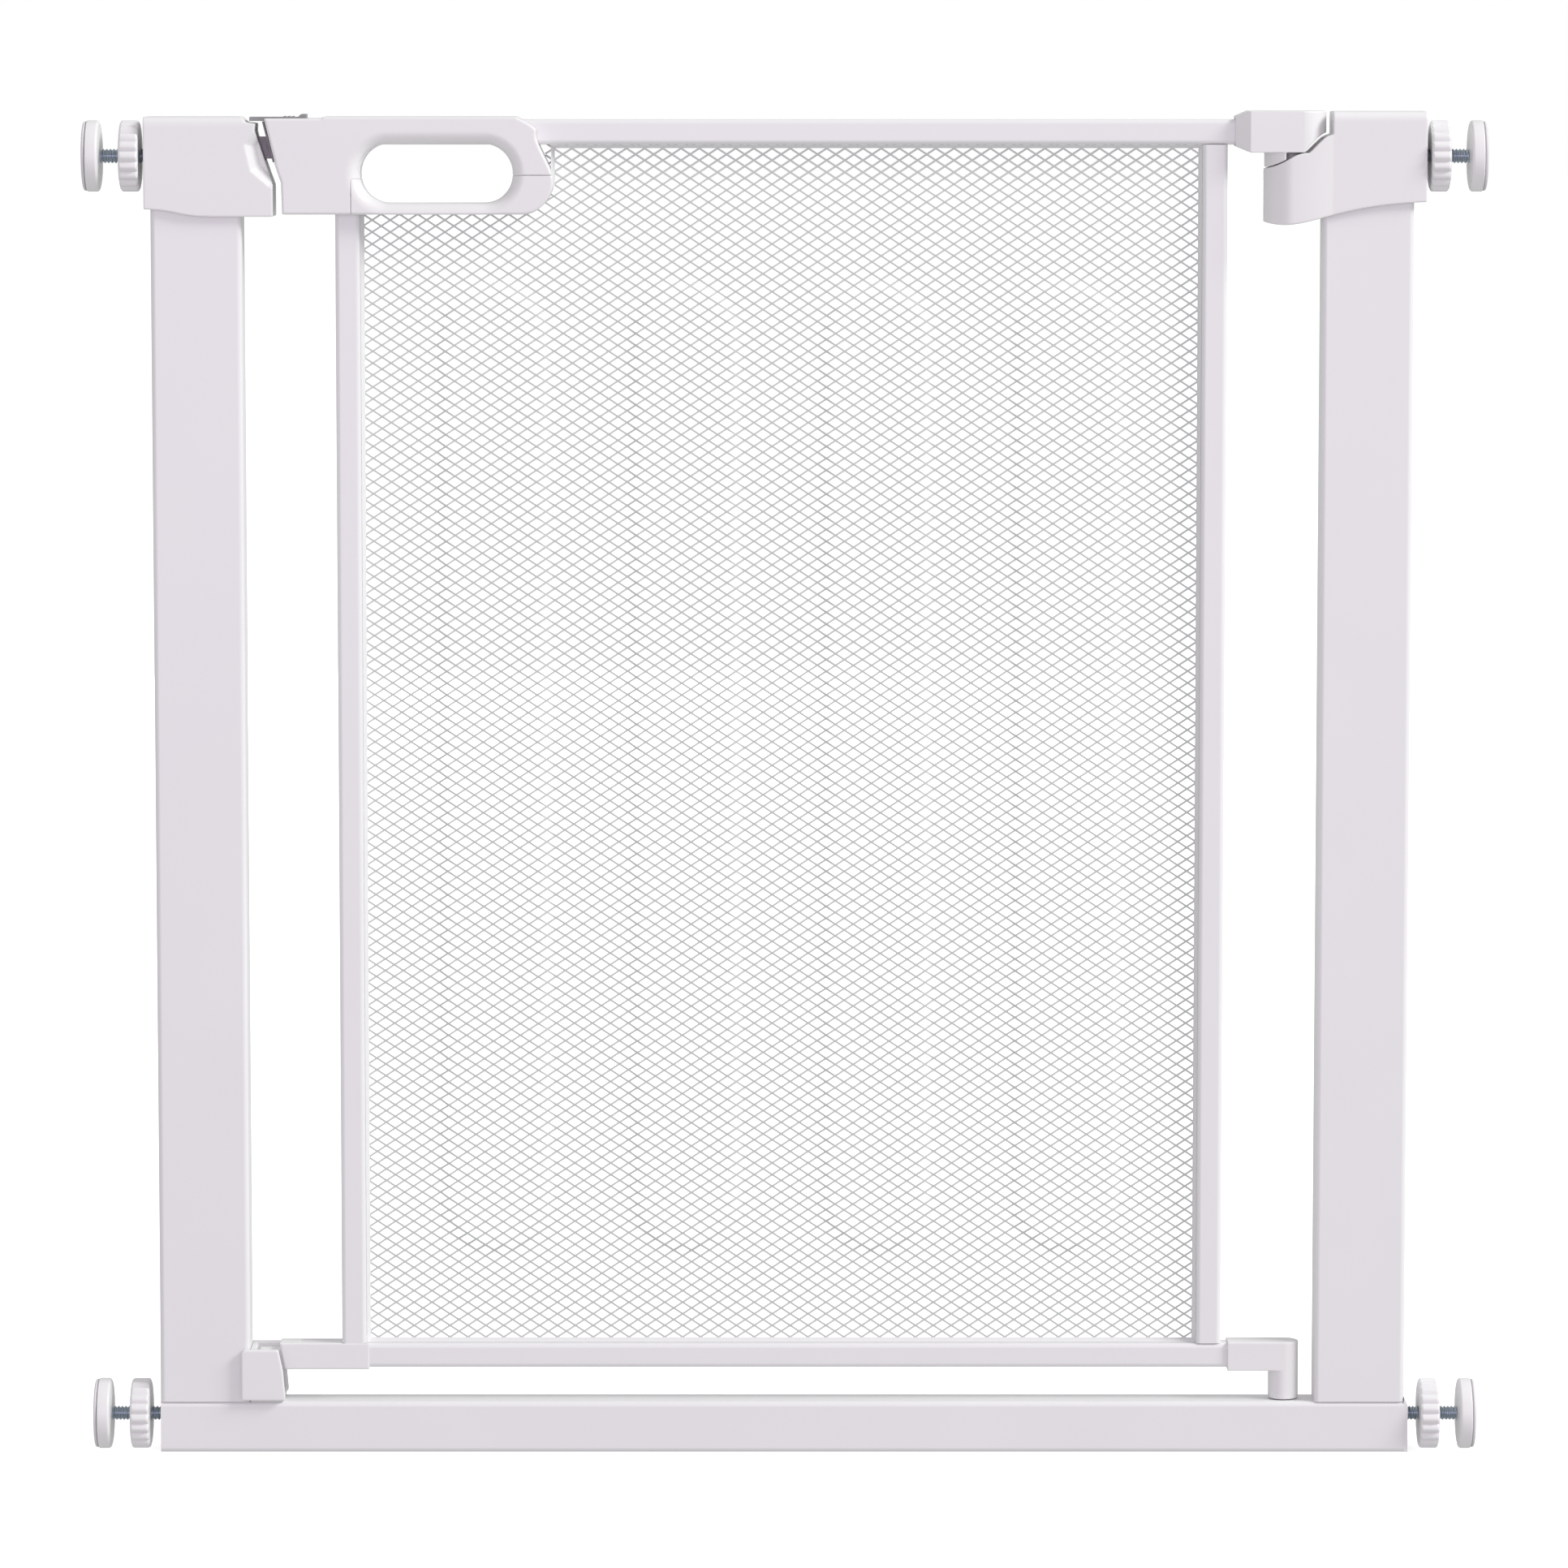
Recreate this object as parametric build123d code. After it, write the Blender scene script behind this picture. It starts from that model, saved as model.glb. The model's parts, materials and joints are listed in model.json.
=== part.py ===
"""Pressure-fitted baby safety gate: a U-frame held between two walls by four screw spindles, and a mesh
door that lifts, swings on a rising hinge and latches with a thumb slide.

Millimetres. Origin: middle of the U-frame on the floor. X to the right, Y to the back, Z up.
The door hinges at the right and latches at the left. Each sub-part is written to parts/NODE.step.
"""

from build123d import *
import math
import os

# ---- overall sizes ----
FRAME_W = 708.4  # U-frame over its two posts
GATE_H = 762.0  # floor to the top of the hinge mouldings

# ---- frame tubes ----
POST_W = 51.2  # post, side to side
POST_D = 25.0  # post and bottom bar, front to back
BAR_H = 29.3  # bottom bar height, so the step-over height
FRAME_WALL = 1.5
FRAME_CORNER = 2.8
POST_DROP = 18.0  # gate top down to the top end of a post

# ---- door tubes and mesh ----
RAIL = 14.0  # square door tube, outside
RAIL_WALL = 1.2
RAIL_CORNER = 2.6
DOOR_CLEAR = 48.0  # floor to the underside of the bottom rail
RAIL_DROP = 4.8  # gate top down to the top of the top rail
LATCH_GAP = 52.0  # left post to the latch stile
MESH_T = 0.5  # sheet that stands for the expanded metal
MESH_Y = 1.3  # middle of the sheet behind the door's middle plane
EMBOSS_H = 2.5  # how far each stadium panel stands out to the front
EMBOSS_W = 64.0
EMBOSS_SLOPE = 50.0  # slope of an embossing's side, degrees from square
EMBOSS_END_LOW = 50.5  # bottom rail up to the lower end of an embossing
EMBOSS_END_HIGH = 76.2  # top rail down to the upper end
EMBOSS_COUNT = 4
EMBOSS_MARGIN = 42.4  # stile to the nearest embossing

# ---- hinge ----
HINGE_GAP = 17.0  # right post to the hinge axis
HINGE_ARM = 36.2  # hinge axis to the outer face of the hinge stile
BARREL_R = 15.75
BLOCK_D = 30.0  # top hinge block, front to back
TOP_PIN_R = 2.5
LOW_PIN_R = 4.0
LOW_BARREL_R = 8.6
TOP_BUSH_R = 5.0  # upper hinge bush, outside radius
COLLAR_DROP = 31.5  # gate top down to the lower end of the collar round the upper pin
LOW_BUSH_R = 7.0  # lower hinge bush, outside radius
CAM_GAP = 0.6  # block above the cam when the door is closed

# ---- mouldings ----
HOUSING_D = 31.5  # latch and hinge housings, front to back
LATCH_WALL = 3.4  # latch housing beside its post, on the spindle side
HINGE_WALL = 6.8  # hinge housing beside its post, on the spindle side
CATCH_WALL = 3.4  # bottom catch beside the post
CATCH_H = 30.4  # bottom catch above the bar
HANDLE_D = 29.0
EDGE_R = 1.2  # small outside rounding
TOP_EDGE_R = 5.0  # wide rounding along a housing's top edges

# ---- latch ----
BOLT_DROP = 14.4  # gate top down to the top of the latch bolt
BOLT_H = 12.3
BOLT_W = 8.0
BOLT_STROKE = 8.0
BOLT_REACH = 4.9  # bolt nose inside the keeper
PLATE_T = 0.9
SLIDE_W = 16.0  # thumb slide, front to back
STEM_W = 6.0  # stem from the slide down to the bolt

# ---- handle ----
HOLE_DX = 109.15  # left post to the finger hole's middle
HOLE_DROP = 34.9  # gate top down to the finger hole's middle
HOLE_W = 85.7
HOLE_H = 33.2
HOLE_ROUND = 3.6
NOTCH_W = 9.8  # width left of the latch stile beside the finger hole
NOTCH_DROP = 47.0  # gate top down to the lower end of that notch

# ---- wall spindles ----
ROD_R = 4.05
CUP_R = 20.0
CUP_T = 7.5
PAD_T = 2.0
KNOB_R = 20.0
KNOB_T = 11.0
KNOB_LOBES = 20
LOW_SPINDLE_Z = 20.5
HIGH_SPINDLE_DROP = 25.3  # gate top down to the upper spindle axis
KNOB_GAP_LEFT = 2.9  # housing wall to the knob
KNOB_GAP_RIGHT = 2.4
CUP_STANDOFF = 11.1  # knob to the cup
GUIDE_R = 5.5  # rod guide sleeve, outside radius
GUIDE_L = 30.0

# ---- fits ----
SLIDE_FIT = 0.2  # moulding over a tube, each side
RUN_FIT = 0.06  # pin or rod in its hole, on the radius
SEAM = 0.1  # between two halves or two glued pieces
MOVE_FIT = 0.3  # moving piece beside a fixed one

# ---- worked out ----
LEFT = -FRAME_W / 2
RIGHT = FRAME_W / 2
LEFT_INNER = LEFT + POST_W  # the posts' faces that look at the door
RIGHT_INNER = RIGHT - POST_W
HINGE_X = RIGHT_INNER - HINGE_GAP
RAIL_TOP = GATE_H - RAIL_DROP
RAIL_LOW = RAIL_TOP - RAIL
BASE_TOP = DOOR_CLEAR + RAIL
LATCH_STILE_X = LEFT_INNER + LATCH_GAP
HINGE_STILE_X = HINGE_X - HINGE_ARM - RAIL
POST_TOP = GATE_H - POST_DROP
HIGH_SPINDLE_Z = GATE_H - HIGH_SPINDLE_DROP
SPRING_END = LEFT_INNER + 47.4  # where the return spring pushes off, inside the handle
STEM_X = LEFT_INNER + 28.8
SLIDE_LOW = GATE_H - 5.6
BOLT_BACK = LEFT_INNER + 33.3
BOLT_INSET = POST_W - 6.2  # post bolt in from the outer face
ROD_REACH = BOLT_INSET - 6.8  # spindle end inside the frame, short of the post bolt

nodes = {}


def box(x0, x1, y0, y1, z0, z1):
    """A block between two corners."""
    return Pos((x0 + x1) / 2, (y0 + y1) / 2, (z0 + z1) / 2) * Box(x1 - x0, y1 - y0, z1 - z0)


def rod_x(x0, x1, y, z, radius):
    """A round bar along X."""
    return Pos((x0 + x1) / 2, y, z) * Rot(0, 90, 0) * Cylinder(radius, x1 - x0)


def rod_y(x, y0, y1, z, radius):
    """A round bar along Y."""
    return Pos(x, (y0 + y1) / 2, z) * Rot(90, 0, 0) * Cylinder(radius, y1 - y0)


def rod_z(x, y, z0, z1, radius):
    """A round bar along Z."""
    return Pos(x, y, (z0 + z1) / 2) * Cylinder(radius, z1 - z0)


def front_slab(face, depth, y_middle=0.0):
    """A shape drawn as seen from the front (X right, Z up), given a depth along Y."""
    return extrude(Plane.XZ.offset(depth / 2 - y_middle) * face, amount=-depth)


def plan_slab(face, z0, z1):
    """A shape drawn as seen from above, given a height."""
    return extrude(Plane.XY.offset(z0) * face, amount=z1 - z0)


def polygon(*points):
    return make_face(Polyline(*points, close=True))


def tube(length, width, depth, wall, corner):
    """A rectangular tube standing along +Z from the origin."""
    outer = RectangleRounded(width, depth, corner)
    inner = RectangleRounded(width - 2 * wall, depth - 2 * wall, corner - wall)
    return extrude(outer - inner, amount=length)


def tube_x(x0, x1, z_middle, height, depth, wall, corner):
    return Pos(x0, 0, z_middle) * Rot(0, 90, 0) * tube(x1 - x0, height, depth, wall, corner)


def screw_y(x, z, y_head, length, shank_r=1.6, head_r=3.0, head_t=1.8):
    """A pan-head screw driven from the back: its head ends at y_head and its shank runs forwards."""
    head = rod_y(x, y_head - head_t, y_head, z, head_r)
    return head + rod_y(x, y_head - length, y_head - head_t, z, shank_r)


def screw_hole_y(x, z, y_head, length, shank_r=1.6, head_r=3.0, head_t=1.8):
    """The hole that such a screw goes in, open to the back."""
    counterbore = rod_y(x, y_head - head_t, y_head + HOUSING_D, z, head_r + SEAM)
    return counterbore + rod_y(x, y_head - length - SEAM, y_head, z, shank_r + SEAM)


# ------------------------------------------------------------------ frame


def posts():
    """Two upright tubes that stand on the bottom bar, each with a threaded foot insert."""
    insert_h = 30.0
    bolt_r = 3.0
    head_r = 5.0
    head_t = 2.6
    bolts, inserts = [], []
    for name, side in (("left_post", -1), ("right_post", 1)):
        middle = side * (FRAME_W - POST_W) / 2
        post = Pos(middle, 0, BAR_H) * tube(POST_TOP - BAR_H, POST_W, POST_D, FRAME_WALL, FRAME_CORNER)
        guide = side * FRAME_W / 2
        post -= rod_x(*sorted((guide, guide - side * 2 * FRAME_WALL)), 0, HIGH_SPINDLE_Z, GUIDE_R + SEAM)
        nodes[name] = post
        bolt_x = side * (FRAME_W / 2 - BOLT_INSET)
        clear = FRAME_WALL + SLIDE_FIT
        insert = Pos(middle, 0, BAR_H + insert_h / 2) * Box(
            POST_W - 2 * clear, POST_D - 2 * clear, insert_h
        )
        insert = fillet(insert.edges().filter_by(Axis.Z), FRAME_CORNER - FRAME_WALL)
        inserts.append(insert - rod_z(bolt_x, 0, BAR_H, BAR_H + insert_h, bolt_r + RUN_FIT))
        head = rod_z(bolt_x, 0, BAR_H - FRAME_WALL - head_t, BAR_H - FRAME_WALL, head_r)
        bolts.append(head + rod_z(bolt_x, 0, BAR_H - FRAME_WALL, BAR_H + insert_h - 5, bolt_r))
    # screws of the left catch and of both housings go through the posts
    nodes["left_post"] -= catch_screw_holes() + housing_screw_holes(-1)
    nodes["right_post"] -= housing_screw_holes(1)
    nodes["post_foot_inserts"] = Compound(inserts)
    nodes["post_bolts"] = Compound(bolts)
    return [(b.center().X, bolt_r) for b in bolts]


def bottom_bar(bolts):
    """The full-width threshold bar, with holes for the post bolts and the lower hinge bush."""
    bar = tube_x(LEFT, RIGHT, BAR_H / 2, BAR_H, POST_D, FRAME_WALL, FRAME_CORNER)
    for x, radius in bolts:
        bar -= rod_z(x, 0, BAR_H - 2 * FRAME_WALL, BAR_H, radius + SEAM)
    bar -= rod_z(HINGE_X, 0, BAR_H - 2 * FRAME_WALL, BAR_H, LOW_BUSH_R + SEAM)
    nodes["bottom_bar"] = bar


def bar_plugs():
    """A plug in each end of the bar, bored for the lower spindle; the right one has a sloping cap."""
    length = 14.0
    cap_t = 2.3
    cap_rise = 2.6
    cap_fall = 2.3
    clear = FRAME_WALL + SLIDE_FIT
    for name, side in (("bar_plug_left", -1), ("bar_plug_right", 1)):
        outer = side * FRAME_W / 2
        x0, x1 = sorted((outer, outer - side * length))
        plug = box(x0, x1, -POST_D / 2 + clear, POST_D / 2 - clear, clear, BAR_H - clear)
        plug = fillet(plug.edges().filter_by(Axis.X), FRAME_CORNER - FRAME_WALL)
        if side > 0:
            cap = polygon(
                (RIGHT, 0.3),
                (RIGHT + cap_t, 0.3),
                (RIGHT + cap_t, BAR_H - cap_fall),
                (RIGHT + SEAM, BAR_H + cap_rise),
                (RIGHT + SEAM, BAR_H),
                (RIGHT, BAR_H),
            )
            plug += front_slab(cap, POST_D - 0.6)
        nodes[name] = plug - rod_x(
            outer - 2 * length, outer + 2 * length, 0, LOW_SPINDLE_Z, GUIDE_R + SEAM
        )


def latch_housing_outline():
    """Seen from the front: stepped top, sloping latch face and a curved lower edge."""
    x = LEFT_INNER
    z = GATE_H
    start = (x - 18.0, z - 59.0)
    end = (LEFT - LATCH_WALL, z - 54.9)
    middle = ((start[0] + end[0]) / 2, (start[1] + end[1]) / 2)
    first = TangentArc(start, middle, tangent=(-1, 0))
    second = TangentArc(middle, end, tangent=first % 1)
    rest = Polyline(
        end,
        (LEFT - LATCH_WALL, z - 3.2),
        (x + 0.1, z - 3.2),
        (x + 2.8, z - 6.3),
        (x + 8.1, z - 7.0),
        (x + 7.8, z - 11.2),
        (x + 8.9, z - 14.6),
        (x + 17.7, z - 40.9),
        (x + 17.7, z - 59.0),
        start,
    )
    return make_face(Curve() + [first, second, rest])


def post_pocket(side):
    """The space that a housing leaves for the post inside it."""
    x0, x1 = sorted((side * FRAME_W / 2, side * (FRAME_W / 2 - POST_W)))
    half = POST_D / 2 + SLIDE_FIT
    pocket = box(x0 - SLIDE_FIT, x1 + SLIDE_FIT, -half, half, BASE_TOP, POST_TOP + SLIDE_FIT)
    return fillet(pocket.edges().filter_by(Axis.Z), FRAME_CORNER - SLIDE_FIT)


def housing_screw_places(side):
    """Two screws through a housing's back wall into its post."""
    x = side * (FRAME_W / 2 - POST_W / 2)
    return [(x, GATE_H - drop) for drop in (38.0, 48.0)]


def housing_screws(side):
    return [screw_y(x, z, HOUSING_D / 2 + 0.2, 9.0) for x, z in housing_screw_places(side)]


def housing_screw_holes(side):
    holes = [screw_hole_y(x, z, HOUSING_D / 2 + 0.2, 9.0) for x, z in housing_screw_places(side)]
    return Part() + holes


def bolt_slope(dz):
    """The latch face leans to the right going down: how far right at this drop below the gate top."""
    return LEFT_INNER + 8.9 + (dz - 14.6) * (17.7 - 8.9) / (40.9 - 14.6)


def latch_housing():
    """The keeper on the left post, with a slot for the bolt that is open to the right and upwards."""
    body = front_slab(latch_housing_outline(), HOUSING_D)
    top = body.faces().sort_by(Axis.Z)[-1]
    body = fillet(top.edges().filter_by(Axis.X), TOP_EDGE_R)
    # lead-in scoops at the front and back of the latch face
    scoop = polygon(
        (LEFT_INNER + 2.1, GATE_H - 18.4),
        (LEFT_INNER + 7.8, GATE_H - 11.2),
        (LEFT_INNER + 23.8, GATE_H - 11.2),
        (LEFT_INNER + 23.8, GATE_H - 42.5),
        (LEFT_INNER + 16.2, GATE_H - 42.5),
        (LEFT_INNER + 5.5, GATE_H - 33.5),
    )
    for y, way in ((-HOUSING_D / 2, -1), (HOUSING_D / 2, 1)):
        face = Plane.XZ.offset(-y) * scoop
        body -= extrude(face, amount=way * 6.0, taper=42)
    slot_low = BOLT_DROP + BOLT_H + 0.8
    half = BOLT_W / 2 + 0.6
    slot = polygon(
        (LEFT_INNER + 2.5, GATE_H),
        (LEFT_INNER + 2.5, GATE_H - slot_low),
        (LEFT_INNER + 28.8, GATE_H - slot_low),
        (LEFT_INNER + 28.8, GATE_H),
    )
    body -= front_slab(slot, 2 * half)
    body -= post_pocket(-1)
    body -= rod_x(LEFT - 10, LEFT, 0, HIGH_SPINDLE_Z, ROD_R + SLIDE_FIT)
    body -= housing_screw_holes(-1)
    nodes["latch_housing"] = body


def cam_line(lift=0.0):
    """The cam's upper edge seen from the front: a low ramp on the barrel, then a steep shoulder."""
    x = HINGE_X
    z = GATE_H + lift
    low = [(-15.75, -32.2), (-8.3, -29.9), (-3.3, -27.4), (0.0, -25.4), (4.2, -23.8), (8.6, -23.4)]
    high = [(8.6, -23.4), (10.6, -21.6), (15.0, -17.2), (18.4, -14.4), (22.2, -13.2)]
    ramp = Spline([(x + a, z + b) for a, b in low])
    shoulder = Spline([(x + a, z + b) for a, b in high])
    return ramp, shoulder


def hinge_housing():
    """The moulding on the right post that carries the upper hinge barrel with its cam."""
    end_x = RIGHT + HINGE_WALL
    ramp, shoulder = cam_line()
    start = (HINGE_X - 15.75, GATE_H - 62.0)
    finish = (end_x, GATE_H - 50.8)
    lower = Spline(
        [start, (HINGE_X - 5.2, GATE_H - 63.6), (HINGE_X + 15.8, GATE_H - 59.8),
         (HINGE_X + 35.1, GATE_H - 55.1), (HINGE_X + 62.7, GATE_H - 51.4), finish]
    )
    rest = Polyline(finish, (end_x, GATE_H - 0.2), (HINGE_X + 22.2, GATE_H - 0.2), shoulder @ 1)
    side = Line(start, ramp @ 0)
    profile = make_face(Curve() + [lower, rest, shoulder, ramp, side])
    half = HOUSING_D / 2
    plan = make_face(
        Curve() + [
            Polyline((HINGE_X, -half), (end_x, -half), (end_x, half), (HINGE_X, half)),
            ThreePointArc((HINGE_X, half), (HINGE_X - half, 0), (HINGE_X, -half)),
        ]
    )
    body = front_slab(profile, HOUSING_D + 2)
    shell = plan_slab(plan, GATE_H - 70, GATE_H)
    body = body & shell
    top = body.faces().sort_by(Axis.Z)[-1]
    body = fillet(top.edges().filter_by(Axis.X), TOP_EDGE_R)
    body -= post_pocket(1)
    body -= rod_x(RIGHT, RIGHT + 10, 0, HIGH_SPINDLE_Z, ROD_R + SLIDE_FIT)
    body -= rod_z(HINGE_X, 0, GATE_H - 61.0, GATE_H, TOP_BUSH_R + SEAM)
    body -= housing_screw_holes(1)
    nodes["hinge_housing"] = body
    bush = rod_z(HINGE_X, 0, GATE_H - 61.0, GATE_H - 33.0, TOP_BUSH_R)
    nodes["upper_hinge_bush"] = bush - rod_z(HINGE_X, 0, GATE_H - 62.0, GATE_H, TOP_PIN_R + RUN_FIT)


def catch_screw_places():
    return [BAR_H + 12.0, BAR_H + 24.0]


def catch_screw_holes():
    web = LEFT_INNER + CATCH_WALL
    holes = [rod_x(web - 6.0, web + 1, 0, z, 1.6 + SEAM) for z in catch_screw_places()]
    return Part() + holes


def bottom_catch():
    """A channel on the bar and the left post, open to the top and right, that holds the door's foot."""
    inner = LEFT_INNER
    front = POST_D / 2 + 3.8
    cheek_y = POST_D / 2 + SEAM
    cheek = polygon(
        (inner - 4.9, BAR_H + 1.3),
        (inner - 4.9, BAR_H + 29.0),
        (inner - 3.4, BAR_H + CATCH_H),
        (inner + 16.2, BAR_H + CATCH_H),
        (inner + 18.8, BAR_H + 17.7),
        (inner + 20.0, BAR_H + 3.7),
        (inner + 20.0, BAR_H + 1.3),
    )
    cheeks = front_slab(cheek, 2 * front)
    cheeks = fillet(cheeks.edges().filter_by(Axis.Y), EDGE_R)
    cheeks -= box(inner - 10, inner + 30, -cheek_y, cheek_y, 0, BAR_H + 40)
    floor = box(inner + SEAM, inner + 19.0, -cheek_y, cheek_y, BAR_H, BAR_H + 4.0)
    web = box(inner + SEAM, inner + CATCH_WALL, -cheek_y, cheek_y, BAR_H, BAR_H + CATCH_H)
    body = cheeks + floor + web
    screws = []
    for z in catch_screw_places():
        head = rod_x(inner + 1.6, inner + CATCH_WALL, 0, z, 3.0)
        body -= rod_x(inner + 1.6, inner + 4.4, 0, z, 3.0 + SEAM)
        body -= rod_x(inner, inner + 2, 0, z, 1.6 + SEAM)
        screws.append(head + rod_x(inner - FRAME_WALL, inner + 1.6, 0, z, 1.6))
    nodes["bottom_catch"] = body
    nodes["catch_screws"] = Compound(screws)


def lower_hinge_bush():
    bush = rod_z(HINGE_X, 0, FRAME_WALL + 0.5, BAR_H, LOW_BUSH_R)
    nodes["lower_hinge_bush"] = bush - rod_z(HINGE_X, 0, FRAME_WALL + 2.0, BAR_H, LOW_PIN_R + RUN_FIT)


# ------------------------------------------------------------------ door


def door_tubes():
    """Two rails and two stiles. The latch stile is notched beside the finger hole."""
    top_end = HINGE_X - 24.0
    nodes["door_top_rail"] = tube_x(
        LATCH_STILE_X, top_end, RAIL_TOP - RAIL / 2, RAIL, RAIL, RAIL_WALL, RAIL_CORNER
    )
    nodes["door_bottom_rail"] = tube_x(
        LATCH_STILE_X - 24.0, top_end, DOOR_CLEAR + RAIL / 2, RAIL, RAIL, RAIL_WALL, RAIL_CORNER
    )
    nodes["door_top_rail"] -= rod_y(HINGE_X - 27.5, 0, RAIL, RAIL_TOP - RAIL / 2, 1.6 + SEAM)
    for x in (HINGE_X - 28.0, LATCH_STILE_X - 15.6):
        nodes["door_bottom_rail"] -= rod_y(x, 0, RAIL, DOOR_CLEAR + RAIL / 2, 1.6 + SEAM)
    height = RAIL_LOW - BASE_TOP
    for name, x in (("latch_stile", LATCH_STILE_X), ("hinge_stile", HINGE_STILE_X)):
        nodes[name] = Pos(x + RAIL / 2, 0, BASE_TOP) * tube(height, RAIL, RAIL, RAIL_WALL, RAIL_CORNER)
    nodes["latch_stile"] -= box(
        LATCH_STILE_X + NOTCH_W, LATCH_STILE_X + RAIL, -RAIL, RAIL, GATE_H - NOTCH_DROP, RAIL_LOW
    )


def handle_outline():
    """The whole handle from the front, before it is split: sloping latch end, round right end."""
    x = LEFT_INNER
    z = GATE_H
    low = (x + 157.0, z - 57.8)
    high = (x + 154.0, z - 3.2)
    nose = Spline(
        [low, (x + 169.0, z - 52.5), (x + 174.7, z - 41.0), (x + 171.0, z - 28.0),
         (x + 165.0, z - 13.0), high],
        tangents=[(1, 0), (-1, 0.5)],
    )
    rest = Polyline(
        high,
        (x + 46.0, z - 3.2),
        (x + 45.0, z - 4.1),
        (x + 12.0 + PLATE_T, z - 4.1),
        (x + 18.1 + PLATE_T, z - 28.7),
        (x + 18.5, z - 28.7),
        (x + 22.3, z - 40.0),
        (x + 22.8, z - 57.8),
        low,
    )
    return make_face(Curve() + [nose, rest])


def finger_hole():
    return Pos(LEFT_INNER + HOLE_DX, GATE_H - HOLE_DROP) * SlotOverall(HOLE_W, HOLE_H)


def handle_screw_places():
    """Two screws left of the finger hole and one at its right, each from the back."""
    x = LEFT_INNER
    z = GATE_H
    return [(x + 31.8, z - 48.0), (x + 46.8, z - 32.0), (x + 164.8, z - 30.0)]


def handle():
    """A moulding in four shells round the rail and stile: upper and lower, each front and back."""
    body = front_slab(handle_outline() - finger_hole(), HANDLE_D)
    half = HANDLE_D / 2
    hole_edges = [
        e
        for e in body.edges()
        if abs(abs(e.center().Y) - half) < 0.01
        and abs(e.center().Z - (GATE_H - HOLE_DROP)) < HOLE_H / 2 + 0.1
        and abs(e.center().X - LEFT_INNER - HOLE_DX) < HOLE_W / 2 + 0.1
    ]
    body = fillet(hole_edges, HOLE_ROUND)
    outer = [
        e
        for e in body.edges()
        if abs(abs(e.center().Y) - half) < 0.01 and e not in hole_edges
    ]
    rims = [e for e in outer if e.bounding_box().max.Z > GATE_H - 58.2]
    body = fillet(rims, EDGE_R)
    # room for the rail, the stile, the bolt, the slide and the screws
    gap = SLIDE_FIT / 2
    body -= box(
        LATCH_STILE_X - gap, LEFT_INNER + 250, -RAIL / 2 - gap, RAIL / 2 + gap, RAIL_LOW - gap, RAIL_TOP + gap
    )
    body -= box(
        LATCH_STILE_X - gap, LATCH_STILE_X + NOTCH_W + gap,
        -RAIL / 2 - gap, RAIL / 2 + gap, GATE_H - 80, RAIL_LOW,
    )
    body -= box(
        LATCH_STILE_X, LATCH_STILE_X + RAIL + gap,
        -RAIL / 2 - gap, RAIL / 2 + gap, GATE_H - 80, GATE_H - NOTCH_DROP + gap,
    )
    body -= latch_room()
    body -= [screw_hole_y(x, z, half - 1.0, 22.0) for x, z in handle_screw_places()]
    # the lower shells: right of the upright seam and below the hole's middle
    seam_x = LEFT_INNER + 61.5
    middle = LEFT_INNER + HOLE_DX
    lower = box(seam_x, middle, -half, half, GATE_H - 70, GATE_H - 37.9)
    lower += box(middle, LEFT_INNER + 190, -half, half, GATE_H - 70, GATE_H - 36.0)
    upper_cut = box(seam_x - SEAM, middle, -half, half, GATE_H - 70, GATE_H - 37.9 + SEAM)
    upper_cut += box(middle, LEFT_INNER + 190, -half, half, GATE_H - 70, GATE_H - 36.0 + SEAM)
    front = box(LEFT_INNER, LEFT_INNER + 250, -half, 0, GATE_H - 80, GATE_H)
    upper = body - upper_cut
    nodes["handle_front"] = upper & front
    nodes["handle_back"] = upper - front
    grip = body & lower
    nodes["grip_front"] = grip & front
    nodes["grip_back"] = grip - front
    screws = [screw_y(x, z, half - 1.0, 22.0) for x, z in handle_screw_places()]
    nodes["handle_screws"] = Compound(screws)


def latch_room():
    """Space in the handle for the bolt, its spring, the slide's stem and the slide."""
    bolt_top = GATE_H - BOLT_DROP
    half = BOLT_W / 2 + MOVE_FIT
    room = box(
        LEFT_INNER, SPRING_END, -half, half, bolt_top - BOLT_H - MOVE_FIT, bolt_top + MOVE_FIT
    )
    room += box(
        STEM_X - STEM_W / 2 - MOVE_FIT, STEM_X + STEM_W / 2 + BOLT_STROKE + 0.5,
        -STEM_W / 2 - MOVE_FIT, STEM_W / 2 + MOVE_FIT, bolt_top, GATE_H,
    )
    room += box(
        LEFT_INNER, LEFT_INNER + 45.2, -SLIDE_W / 2 - MOVE_FIT, SLIDE_W / 2 + MOVE_FIT,
        SLIDE_LOW - MOVE_FIT, GATE_H + 1,
    )
    return room


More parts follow.
